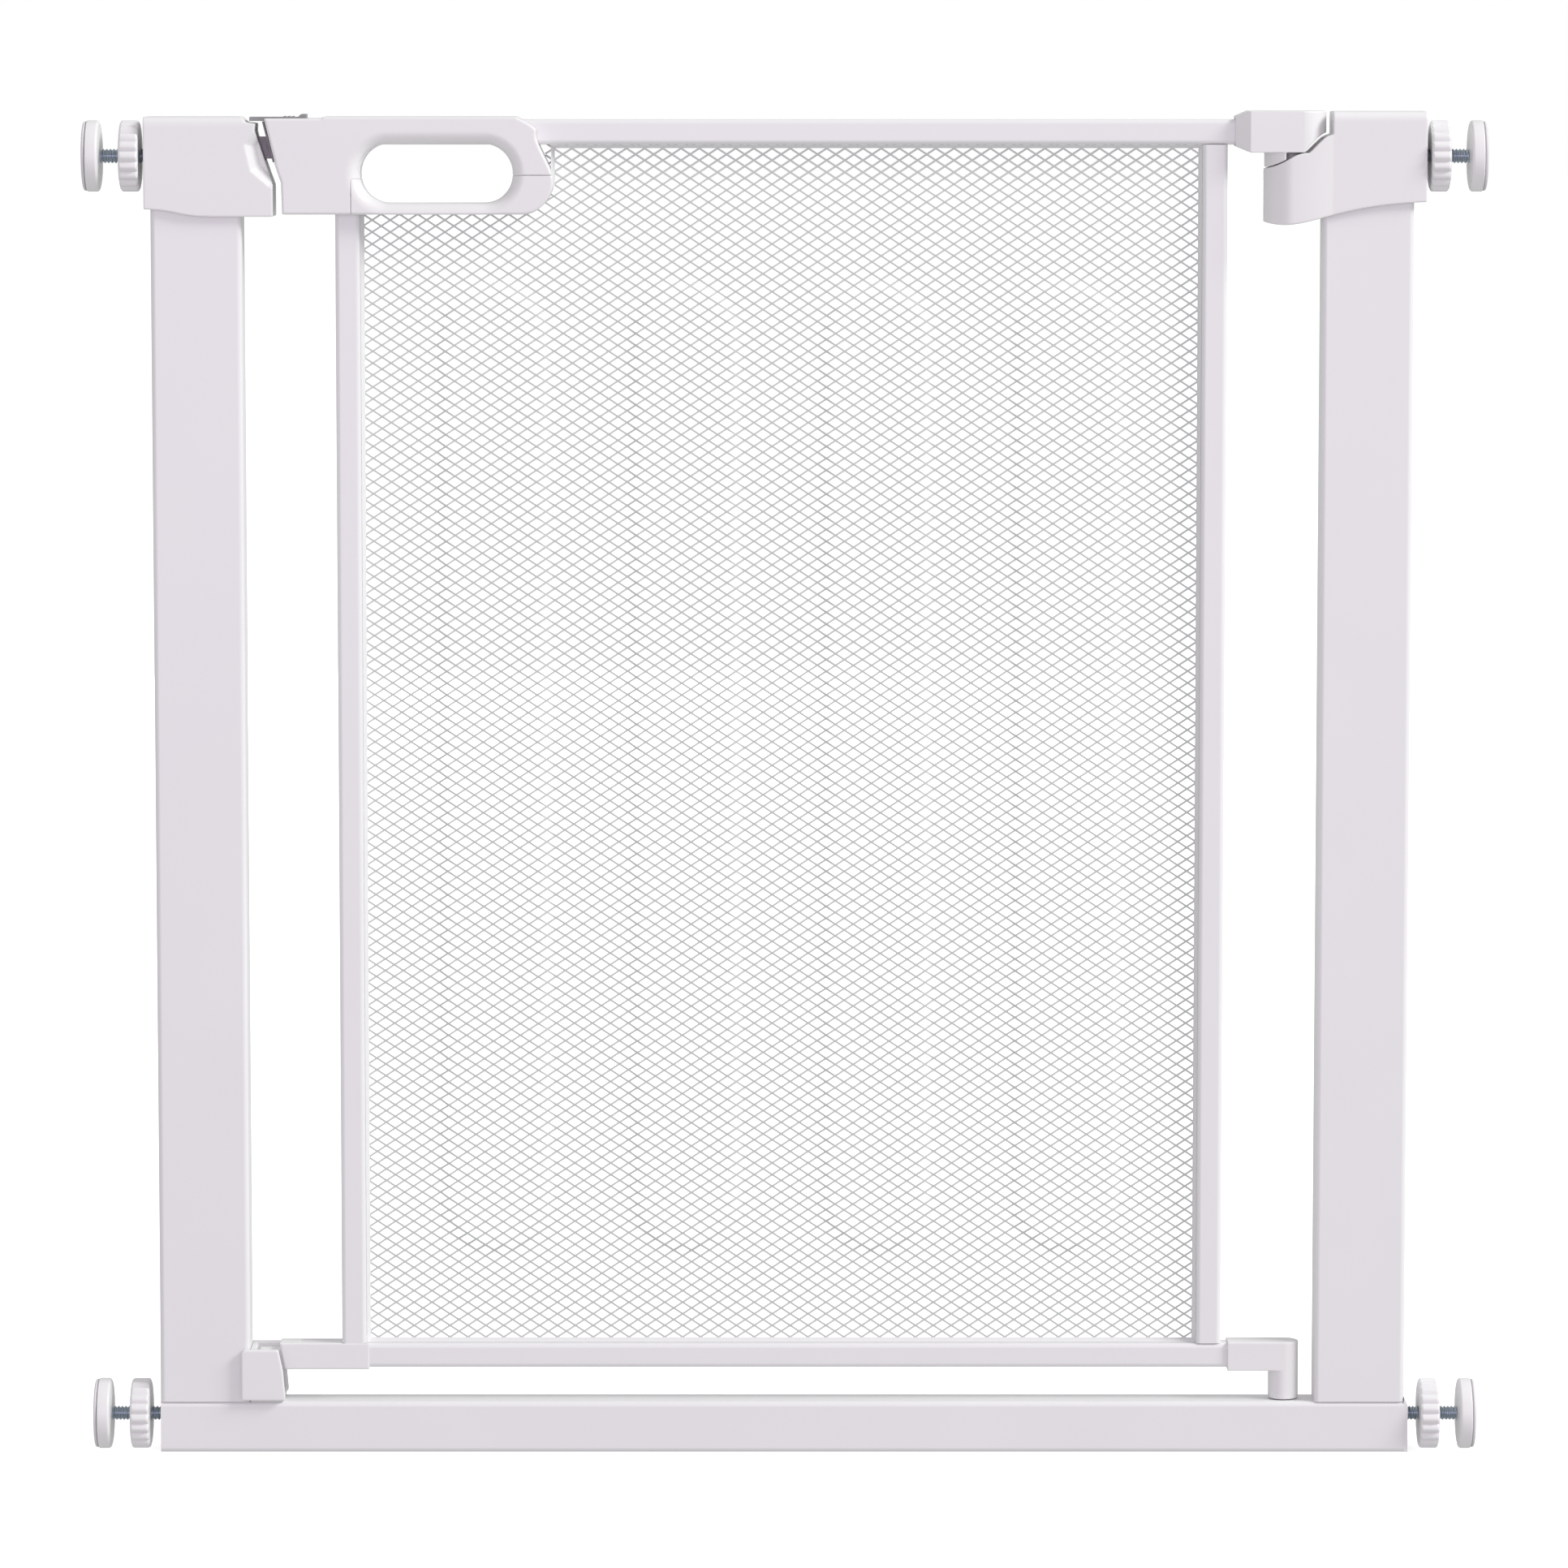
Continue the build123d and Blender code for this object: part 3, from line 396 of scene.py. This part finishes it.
ZINC = plated_steel("zinc_plate", (0.31, 0.37, 0.43), (0.50, 0.56, 0.62), 0.20, ALONG_THE_ROD)
DARK_STEEL = plated_steel("darkened_steel", (0.10, 0.10, 0.10), (0.15, 0.15, 0.15), 0.34, UP_AND_DOWN)
SPRING_STEEL = plated_steel("spring_wire", (0.45, 0.45, 0.46), (0.55, 0.55, 0.56), 0.22)


# %% Rubber
def pad_rubber():
    rubber = Finish("pale_rubber")
    dust = rubber.noise(60.0, 4.0, 0.6)
    pores = rubber.noise(1800.0, 2.0, 0.6)
    return rubber.surface(
        Base_Color=rubber.tint(dust, (0.66, 0.65, 0.66), (0.76, 0.75, 0.76)),
        Roughness=0.62 + pores * 0.2,
        Normal=rubber.bump(pores, 0.03 * MM, 0.6),
    )


PAD_RUBBER = pad_rubber()

# %% Give every engineered part its finish
FINISHES = {
    "white_metal": POWDER_COAT,
    "white_plastic": WHITE_PLASTIC,
    "grey_plastic": GREY_PLASTIC,
    "dark_steel": DARK_STEEL,
    "zinc_steel": ZINC,
    "spring_steel": SPRING_STEEL,
    "bush_plastic": BUSH_NYLON,
    "pad_rubber": PAD_RUBBER,
}
slot_of = {entry["node"]: entry["material_slot"] for entry in frame["record"]["subparts"]}
for name, part in nodes.items():
    for place in part.material_slots:
        place.material = FINISHES[slot_of[name]]
print("parts with a finish:", len(slot_of))

# %% [markdown]
# ## Helpers for new pieces
#
# A new piece is a mesh in metres, already in its place. It takes a finish, rides on a body and hides
# the engineered part that it stands for.


# %% Making a piece
def place_piece(mesh, name, body, slot, replaced=None, finish=None):
    """Makes a mesh an object, gives it its finish and its body, and hides the part it stands for."""
    mesh.name = name
    mesh.materials.clear()
    mesh.materials.append(finish or FINISHES[slot])
    piece = bpy.data.objects.new(name, mesh)
    bpy.context.scene.collection.objects.link(piece)
    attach(piece, body)
    if replaced:
        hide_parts(replaced)
    return piece


def build_mesh(vertices, faces, smooth=True):
    mesh = bpy.data.meshes.new("new")
    mesh.from_pydata([tuple(vertex) for vertex in vertices], [], faces)
    mesh.validate()
    mesh.update()
    if smooth:
        mesh.shade_smooth()
    else:
        mesh.shade_flat()
    return mesh


# %% Rings of points
def stitch_rings(ring_count, ring_size):
    """Faces between neighbouring rings of points, stored ring after ring."""
    faces = []
    for i in range(ring_count - 1):
        this, after = i * ring_size, (i + 1) * ring_size
        for j in range(ring_size):
            k = (j + 1) % ring_size
            faces.append((this + j, this + k, after + k, after + j))
    return faces


def ring_face(ring, ring_size, turned_over=False):
    """One face that closes a ring."""
    points = tuple(range(ring * ring_size, (ring + 1) * ring_size))
    return tuple(reversed(points)) if turned_over else points


# %% [markdown]
# ## Moulded fittings with soft edges
#
# The engineered fittings have crisp edges, but a moulding comes out of its tool with every edge
# rounded by about a millimetre. Bevelling edge by edge is fragile on shapes like these, so each
# fitting is rebuilt in small voxels instead, and then relaxed: flat faces stay flat, edges turn
# round. Decimating afterwards takes away the points that the flats don't need, and weighted
# normals keep those flats evenly shaded.

# %% Copy a part in voxels
VOXEL = 0.5 * MM
WELD = 0.001 * MM


def voxel_copy(node):
    """The engineered part's own closed shape as an even grid of small quads."""
    source = bpy.data.objects.new("source", nodes[node].data.copy())
    bpy.context.scene.collection.objects.link(source)
    work = bmesh.new()
    work.from_mesh(source.data)
    bmesh.ops.remove_doubles(work, verts=work.verts, dist=WELD)
    work.to_mesh(source.data)
    work.free()
    remesh = source.modifiers.new("remesh", "REMESH")
    remesh.mode = "VOXEL"
    remesh.voxel_size = VOXEL
    evaluated = source.evaluated_get(bpy.context.evaluated_depsgraph_get())
    mesh = bpy.data.meshes.new_from_object(evaluated)
    bpy.data.objects.remove(source)
    return mesh


# %% Soften a fitting
RELAX_ROUNDS = 4
RELAX_SHARE = 0.5  # of the way to the neighbours' middle, each round
KEEP_SHARE = 0.14  # of the voxel faces
FLAT_WEIGHT = 60  # how far large faces win in the weighted normals


def even_flats(piece):
    piece.modifiers.new("even flats", "WEIGHTED_NORMAL").weight = FLAT_WEIGHT


def soften(name, node, body, carve=None):
    """A soft-edged copy of a white fitting. carve() may shape its voxels first."""
    mesh = voxel_copy(node)
    if carve:
        carve(mesh)
    mesh.shade_smooth()
    piece = place_piece(mesh, name, body, "white_plastic", node)
    relax = piece.modifiers.new("relax", "SMOOTH")
    relax.factor = RELAX_SHARE
    relax.iterations = RELAX_ROUNDS
    piece.modifiers.new("thin out", "DECIMATE").ratio = KEEP_SHARE
    even_flats(piece)
    print(name, "from", len(mesh.polygons), "voxel faces")


# %% [markdown]
# The hinge barrel stands a little proud of its housing's flat front and meets it in a soft crease.
# The voxel copy makes that easy: its front points are pushed out by a sine across the barrel.

# %% Swell the hinge barrel
barrel_lo, barrel_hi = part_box("hinge_housing")
BARREL_W = 38.0 * MM
BARREL_SWELL = 1.7 * MM
SWELL_SKEW = 1.2  # above 1, the swell is highest past the middle
barrel_half = (barrel_hi.y - barrel_lo.y) / 2


def swell_barrel(mesh):
    for vertex in mesh.vertices:
        share = max(vertex.co.x - barrel_lo.x, 0.0) / BARREL_W
        if vertex.co.y < 0 and share < 1:
            swell = BARREL_SWELL * math.sin(math.pi * share ** SWELL_SKEW)
            vertex.co.y *= 1 + swell / barrel_half


# %% Housings, hinge parts, catch and foot
soften("latch_housing_moulding", "latch_housing", "frame")
soften("hinge_housing_moulding", "hinge_housing", "frame", swell_barrel)
soften("bottom_catch_moulding", "bottom_catch", "frame")
soften("top_hinge_moulding", "top_hinge_block", "door")
soften("hinge_elbow_moulding", "bottom_hinge_elbow", "door")
soften("closing_foot_moulding", "closing_foot", "door")

# %% [markdown]
# ## The handle and its finger hole
#
# The handle is two shells, front and back, with a separate lower jaw. Its hole is scooped: the
# faces roll into it with a generous radius, so that fingers find it comfortable. On a voxel copy
# that is one rule, since no point near the hole may stand further out than the roll allows.

# %% Scoop the finger hole
handle_lo, handle_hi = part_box("handle_front")
HOLE_START = 52.5 * MM  # handle's latch end to the hole
HOLE_W = 86.6 * MM
HOLE_R = 16.6 * MM
HOLE_DROP = 34.9 * MM  # gate top down to the hole's middle
ROLL = 7.0 * MM
hole_left = handle_lo.x + HOLE_START + HOLE_R  # centres of the two round ends
hole_right = handle_lo.x + HOLE_START + HOLE_W - HOLE_R
hole_z = gate_top - HOLE_DROP
handle_half = -handle_lo.y


def scoop(mesh):
    for vertex in mesh.vertices:
        x, y, z = vertex.co
        nearest = min(max(x, hole_left), hole_right)
        away = math.hypot(x - nearest, z - hole_z) - HOLE_R
        if away < ROLL:
            left = ROLL - max(away, 0.0)
            allowed = handle_half - ROLL + math.sqrt(max(ROLL * ROLL - left * left, 0.0))
            vertex.co.y = max(-allowed, min(allowed, y))


for shell in ("front", "back"):
    soften(f"handle_{shell}_moulding", f"handle_{shell}", "door", scoop)
    soften(f"grip_{shell}_moulding", f"grip_{shell}", "door", scoop)
print("hole's round ends at", round(hole_left, 4), "and", round(hole_right, 4), "m")

# %% [markdown]
# ## Expanded metal mesh
#
# The door's filling is one sheet, slit and pulled open into diamonds, so its strands are all one
# piece and lean a little. It is built the same way: every opening is a diamond of four points, the
# strands are the quads between neighbouring openings, and the bonds are the quads where four meet.
# Thickness comes last, from a modifier.

# %% Shape of the sheet
MESH_LONG = 10.22 * MM  # diamond, left to right, with its share of the strands
MESH_SHORT = 6.70 * MM  # diamond, up and down
STRAND_W = 1.02 * MM
STRAND_T = 0.80 * MM
LEAN = 0.12 * MM  # how far a strand leans out of the sheet
SHEET_Y = 1.3 * MM
UNDER_HANDLE = 4.0 * MM  # how far the sheet reaches in behind the handle's nose
ABOVE_GRIP = 2.5 * MM  # and above the grip's lower edge

sheet_lo, sheet_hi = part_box("mesh_panel")
grip_lo, grip_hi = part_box("grip_front")


def opening_share():
    """An opening's size as a share of its cell: half a strand is left along each side."""
    long_half = MESH_LONG / 2
    short_half = MESH_SHORT / 2
    middle_to_side = long_half * short_half / math.hypot(long_half, short_half)
    return 1 - STRAND_W / 2 / middle_to_side


def hidden_by_handle(point):
    """True where the sheet would be inside the handle's moulding, or past it in the finger hole."""
    return point.z > grip_lo.z + ABOVE_GRIP and point.x < grip_hi.x - UNDER_HANDLE


print("an opening is", round(opening_share() * 100), "% of its cell's width")


# %% Weave the diamonds
class DiamondNet:
    """The flat net: cells (i, j) with i + j even are openings, and the others are bonds."""

    def __init__(self):
        self.net = bmesh.new()
        self.tips = {}
        self.share = opening_share()
        self.columns = int((sheet_hi.x - sheet_lo.x) / MESH_LONG * 2) + 4
        self.rows = int((sheet_hi.z - sheet_lo.z) / MESH_SHORT * 2) + 4
        for i in range(self.columns + 1):
            for j in range(self.rows + 1):
                if (i + j) % 2:
                    self.add_bond(i, j)

    def tip(self, cell, way_x, way_z):
        """A corner of an opening: its left, right, lower or upper one."""
        spot = (*cell, way_x, way_z)
        if spot not in self.tips:
            across = cell[0] - self.columns // 2 + way_x * self.share
            up = cell[1] - self.rows // 2 + way_z * self.share
            x = (sheet_lo.x + sheet_hi.x + across * MESH_LONG) / 2
            z = (sheet_lo.z + sheet_hi.z + up * MESH_SHORT) / 2
            self.tips[spot] = self.net.verts.new((x, SHEET_Y + way_z * LEAN, z))
        return self.tips[spot]

    def add_bond(self, i, j):
        """The bond at (i, j), between four openings, and the two strands that go right from it."""
        lower = self.tip((i, j - 1), 0, 1)
        upper = self.tip((i, j + 1), 0, -1)
        right = self.tip((i + 1, j), -1, 0)
        self.net.faces.new((self.tip((i - 1, j), 1, 0), lower, right, upper))
        self.net.faces.new((right, self.tip((i + 1, j), 0, 1), self.tip((i, j + 1), 1, 0), upper))
        self.net.faces.new((lower, self.tip((i, j - 1), 1, 0), self.tip((i + 1, j), 0, -1), right))

    def cut(self, point, outward):
        """Everything beyond a plane goes."""
        geometry = self.net.verts[:] + self.net.edges[:] + self.net.faces[:]
        bmesh.ops.bisect_plane(
            self.net, geom=geometry, dist=1e-7, plane_co=point, plane_no=outward, clear_outer=True
        )


# %% [markdown]
# Four long stadium shapes are pressed forwards in the sheet. How far the sheet stands out depends
# only on how deep a point lies inside its nearest stadium: it rises over a narrow slope, as a smooth
# step, and is level beyond it.

# %% Press the panels
EMBOSS_COUNT = 4
EMBOSS_H = 1.8 * MM
EMBOSS_W = 64.0 * MM
EMBOSS_SLOPE_W = 6.0 * MM
EMBOSS_MARGIN = 42.4 * MM
EMBOSS_LOW = 50.5 * MM
EMBOSS_HIGH = 76.2 * MM


def emboss_height(x, z):
    """How far the sheet is pressed forwards here."""
    radius = EMBOSS_W / 2
    low = sheet_lo.z + EMBOSS_LOW + radius
    high = sheet_hi.z - EMBOSS_HIGH - radius
    first = sheet_lo.x + EMBOSS_MARGIN + radius
    last = sheet_hi.x - EMBOSS_MARGIN - radius
    step = (last - first) / (EMBOSS_COUNT - 1)
    nearest = first + step * min(max(round((x - first) / step), 0), EMBOSS_COUNT - 1)
    beyond = max(low - z, z - high, 0.0)
    inside = radius - math.hypot(x - nearest, beyond)
    share = min(max(inside / EMBOSS_SLOPE_W, 0.0), 1.0)
    return EMBOSS_H * share * share * (3 - 2 * share)


# %% Make the mesh
def expanded_mesh():
    woven = DiamondNet()
    woven.cut((sheet_lo.x, 0, 0), (-1, 0, 0))
    woven.cut((sheet_hi.x, 0, 0), (1, 0, 0))
    woven.cut((0, 0, sheet_lo.z), (0, 0, -1))
    woven.cut((0, 0, sheet_hi.z), (0, 0, 1))
    net = woven.net
    covered = [face for face in net.faces if hidden_by_handle(face.calc_center_median())]
    bmesh.ops.delete(net, geom=covered, context="FACES")
    for vertex in net.verts:
        vertex.co.y -= emboss_height(vertex.co.x, vertex.co.z)
    mesh = bpy.data.meshes.new("expanded_mesh")
    net.to_mesh(mesh)
    net.free()
    # The mesh takes the darker copy of the white coat, which is painted shade.
    piece = place_piece(mesh, "expanded_mesh", "door", "white_metal", "mesh_panel", MESH_COAT_PAINTED_SHADE)
    thick = piece.modifiers.new("thickness", "SOLIDIFY")
    thick.thickness = STRAND_T
    thick.offset = 0.0
    print("mesh faces:", len(mesh.polygons))


expanded_mesh()

# %% [markdown]
# ## The mesh's hem
#
# The sheet's edge is folded forwards into a narrow hem that is welded to the tubes. It is a strip
# that follows the opening from the handle down, along and up, and back to the handle. Its slope is
# what makes it show: the left and lower sides catch the light, the right and upper ones don't.

# %% Hem
HEM_W = 2.0 * MM
HEM_T = 0.5 * MM
HEM_FRONT = -3.4 * MM
HEM_INTO_NOSE = 1.5 * MM
HEM_INTO_GRIP = 1.0 * MM
HEM_UP_NOSE = 14.0 * MM


def mesh_hem():
    lo = sheet_lo
    hi = sheet_hi
    nose_x = grip_hi.x - HEM_INTO_NOSE
    grip_z = grip_lo.z + HEM_INTO_GRIP
    corners = [
        ((lo.x, grip_z), (1, 0)),
        ((lo.x, lo.z), (1, 1)),
        ((hi.x, lo.z), (-1, 1)),
        ((hi.x, hi.z), (-1, -1)),
        ((nose_x, hi.z), (1, -1)),
        ((nose_x, grip_z + HEM_UP_NOSE), (1, 0)),
    ]
    vertices = []
    for (x, z), (way_x, way_z) in corners:
        inner_x = x + way_x * HEM_W
        inner_z = z + way_z * HEM_W
        vertices += [
            (x, HEM_FRONT, z),
            (inner_x, SHEET_Y - HEM_T, inner_z),
            (inner_x, SHEET_Y, inner_z),
            (x, HEM_FRONT + HEM_T, z),
        ]
    faces = stitch_rings(len(corners), 4)
    faces += [ring_face(0, 4, turned_over=True), ring_face(len(corners) - 1, 4)]
    mesh = build_mesh(vertices, faces, smooth=False)
    place_piece(mesh, "mesh_hem", "door", "white_metal")
    print("hem faces:", len(mesh.polygons))


mesh_hem()

# %% [markdown]
# ## Threaded spindles
#
# A rolled 8 mm rod with a thread every 2 mm. A thread is only a radius that goes up and down with
# both the distance along the rod and the angle round it, so a fine grid of points is enough.

# %% Spindles
THREAD_PITCH = 2.0 * MM
THREAD_DEPTH = 0.80 * MM
AROUND_ROD = 28  # points
PER_PITCH = 8  # points along one pitch


def thread_depth(turns, to_end):
    """Depth of the thread after some turns. It runs out to its full depth at the rod's ends."""
    groove = 0.5 - 0.5 * math.cos(2 * math.pi * turns)
    return THREAD_DEPTH * max(groove, 1 - to_end / THREAD_PITCH)


def threaded_rod(place):
    lo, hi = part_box(f"spindle_{place}")
    middle = (lo + hi) / 2
    radius = (hi.z - lo.z) / 2
    steps = int((hi.x - lo.x) / THREAD_PITCH * PER_PITCH)
    vertices = []
    for i in range(steps + 1):
        x = lo.x + (hi.x - lo.x) * i / steps
        to_end = min(x - lo.x, hi.x - x)
        for j in range(AROUND_ROD):
            angle = 2 * math.pi * j / AROUND_ROD
            r = radius - thread_depth((x - lo.x) / THREAD_PITCH - j / AROUND_ROD, to_end)
            vertices.append((x, middle.y + r * math.cos(angle), middle.z + r * math.sin(angle)))
    faces = stitch_rings(steps + 1, AROUND_ROD)
    faces += [ring_face(0, AROUND_ROD), ring_face(steps, AROUND_ROD, turned_over=True)]
    body = f"spindle_{place}"
    place_piece(build_mesh(vertices, faces), f"threaded_rod_{place}", body, "zinc_steel", body)


for place in PLACES:
    threaded_rod(place)
print("threaded rods:", len(PLACES))

# %% [markdown]
# ## The bolt's return spring
#
# A wire coil behind the latch bolt pushes it home. When the thumb slide is drawn back, the bolt
# presses the coil together against its fixed end. The coil is a ring of points carried round and
# along, and it gets a mesh of its own.

# %% Return spring
COIL_TURNS = 6
WIRE_R = 0.45 * MM
AROUND_COIL = 24  # points in one turn
AROUND_WIRE = 8


def return_coil():
    lo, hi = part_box("return_spring")
    middle = (lo + hi) / 2
    length = hi.x - lo.x
    coil_r = (hi.z - lo.z) / 2 - WIRE_R
    steps = COIL_TURNS * AROUND_COIL
    vertices = []
    for i in range(steps + 1):
        turn = 2 * math.pi * i / AROUND_COIL
        along = lo.x + WIRE_R + (length - 2 * WIRE_R) * i / steps
        for j in range(AROUND_WIRE):
            angle = 2 * math.pi * j / AROUND_WIRE
            r = coil_r + WIRE_R * math.cos(angle)
            x = along + WIRE_R * math.sin(angle)
            vertices.append((x, middle.y + r * math.sin(turn), middle.z + r * math.cos(turn)))
    faces = stitch_rings(steps + 1, AROUND_WIRE)
    faces += [ring_face(0, AROUND_WIRE, turned_over=True), ring_face(steps, AROUND_WIRE)]
    mesh = build_mesh(vertices, faces)
    coil = place_piece(mesh, "return_coil", "door", "spring_steel", "return_spring")
    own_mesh(coil)


return_coil()

# %% [markdown]
# ## Hand wheels, cups and pads
#
# These are turned shapes, so each is a list of rings: how far a ring lies from the piece's gate
# side, its radius, and how much of the finger grooves it has. The hand wheel's grooves are narrow
# and its lobes round, which is what the absolute value of a cosine gives.

# %% Turned pieces
LOBES = 20
GROOVE = 1.7 * MM
AROUND_WHEEL = LOBES * 14  # points


def ring_points(middle, x, radius, groove):
    """A round of points at x, with finger grooves of the given depth."""
    points = []
    for j in range(AROUND_WHEEL):
        angle = 2 * math.pi * j / AROUND_WHEEL
        r = radius - groove * (1 - abs(math.cos(LOBES * angle / 2)))
        points.append((x, middle.y + r * math.cos(angle), middle.z + r * math.sin(angle)))
    return points


def turned(name, node, rings, slot, body, bored=False):
    """A turned piece lying along X, built outwards from the side that faces the gate."""
    lo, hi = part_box(node)
    middle = (lo + hi) / 2
    near, outward = (hi.x, -1) if middle.x < 0 else (lo.x, 1)
    vertices = []
    for distance, radius, share in rings:
        x = near + outward * distance * MM
        vertices += ring_points(middle, x, radius * MM, GROOVE * share)
    faces = stitch_rings(len(rings), AROUND_WHEEL)
    last = len(rings) - 1
    if bored:
        pairs = list(zip(ring_face(last, AROUND_WHEEL), ring_face(0, AROUND_WHEEL)))
        for (outer, inner), (next_outer, next_inner) in zip(pairs, pairs[1:] + pairs[:1]):
            faces.append((outer, next_outer, next_inner, inner))
    else:
        faces += [ring_face(0, AROUND_WHEEL, turned_over=True), ring_face(last, AROUND_WHEEL)]
    if outward < 0:
        faces = [tuple(reversed(face)) for face in faces]
    even_flats(place_piece(build_mesh(vertices, faces), name, body, slot, node))


# %% Their profiles, in millimetres
WHEEL = [
    (0.0, 4.2, 0), (0.0, 17.4, 0), (0.15, 18.4, 0.4), (0.5, 19.3, 0.8), (1.0, 19.8, 1),
    (1.6, 20.0, 1), (9.4, 20.0, 1), (10.0, 19.8, 1), (10.5, 19.3, 0.8), (10.85, 18.4, 0.4),
    (11.0, 17.4, 0), (11.0, 4.2, 0),
]
CUP = [
    (0.0, 4.6, 0), (0.1, 12.0, 0), (0.3, 17.6, 0), (0.6, 18.8, 0), (1.1, 19.6, 0), (1.9, 20.0, 0),
    (6.9, 20.0, 0), (7.35, 19.85, 0), (7.5, 19.6, 0),
]
PAD = [(0.0, 19.4, 0), (1.2, 19.4, 0), (1.7, 19.2, 0), (2.0, 18.6, 0)]

for place in PLACES:
    turned(f"hand_wheel_{place}", f"knob_{place}", WHEEL, "white_plastic", f"knob_{place}", bored=True)
    turned(f"wall_cup_{place}", f"cup_{place}", CUP, "white_plastic", f"spindle_{place}")
    turned(f"wall_pad_{place}", f"pad_{place}", PAD, "pad_rubber", f"spindle_{place}")
print("turned pieces:", 3 * len(PLACES))

# %% [markdown]
# ## The last check
#
# How far the finished pieces reach past the engineered model's box, in millimetres.

# %% Check sizes and finish
shown_box = [list(corner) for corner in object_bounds()]
growth = [round((shown - cad) / MM, 2) for cad, shown in zip(sum(cad_box, []), sum(shown_box, []))]
print("box grows by mm:", growth)
